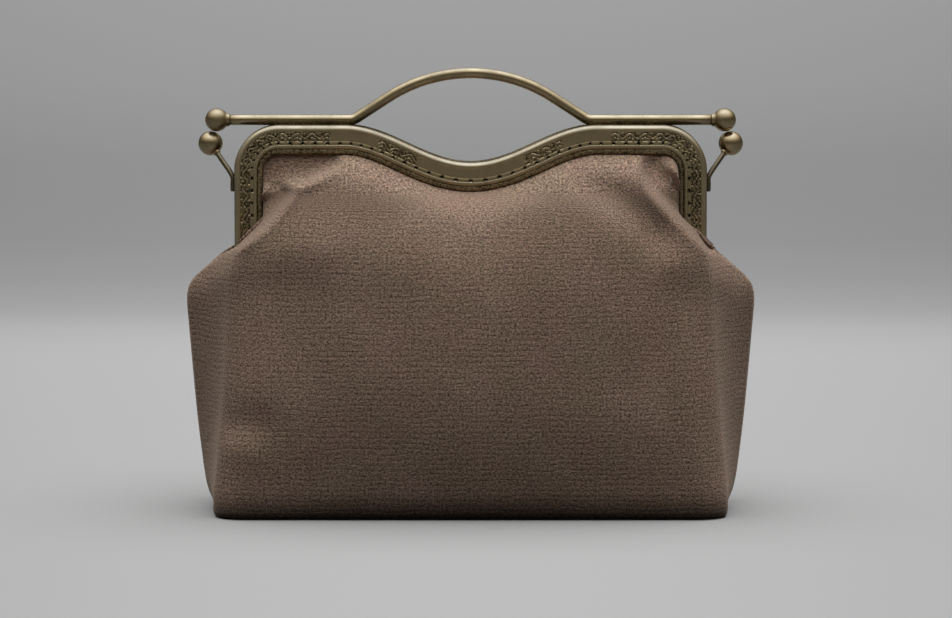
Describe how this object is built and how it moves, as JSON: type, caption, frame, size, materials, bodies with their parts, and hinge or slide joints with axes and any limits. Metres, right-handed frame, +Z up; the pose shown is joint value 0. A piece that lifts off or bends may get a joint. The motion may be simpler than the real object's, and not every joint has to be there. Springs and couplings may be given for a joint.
{
  "type": "handbag",
  "caption": "Kiss-lock frame purse: full ribbed-velvet pouch on an antique-brass sew-in frame with an arched handle bar.",
  "frame": {"origin": "centre of the box at the bottom, on the surface the pouch stands on", "axes": "+X along the frame towards its right leg, -Y out of the front panel, +Z up"},
  "size_m": [0.242, 0.0956, 0.1887],
  "materials": {
    "brass": "antique brass, dark in the hollows and rubbed bright on the edges",
    "velvet": "taupe brown velvet with fine ribs across",
    "lining": "plain woven lining",
    "interlining": "felted wadding",
    "board": "pressed board"
  },
  "bodies": {
    "pouch": {"base_panel": "velvet", "base_board": "board", "base_lining": "lining", "front_panel": "velvet", "back_panel": "velvet", "front_interlining": "interlining", "back_interlining": "interlining", "front_lining": "lining", "back_lining": "lining"},
    "front_half": {"front_frame": "brass", "clasp_arm_left": "brass", "clasp_arm_right": "brass", "clasp_ball_left": "brass", "clasp_ball_right": "brass", "front_panel_top": "velvet", "front_lining_top": "lining"},
    "back_half": {"back_frame": "brass", "hinge_rivet_left": "brass", "hinge_rivet_right": "brass", "handle_bar": "brass", "handle_ball_left": "brass", "handle_ball_right": "brass", "back_panel_top": "velvet", "back_lining_top": "lining"}
  },
  "joints": [
    {"name": "front_hinge", "type": "hinge", "parent": "pouch", "child": "front_half", "pos_m": [0, 0, 0.102], "axis": [1, 0, 0], "range_deg": [0, 50], "deforming": ["front_panel_top", "front_lining_top"]},
    {"name": "back_hinge", "type": "hinge", "parent": "pouch", "child": "back_half", "pos_m": [0, 0, 0.102], "axis": [-1, 0, 0], "range_deg": [0, 50], "deforming": ["back_panel_top", "back_lining_top"]}
  ],
  "couplings": [
    {"joint": "front_hinge", "follows": "back_hinge", "ratio": 1}
  ]
}
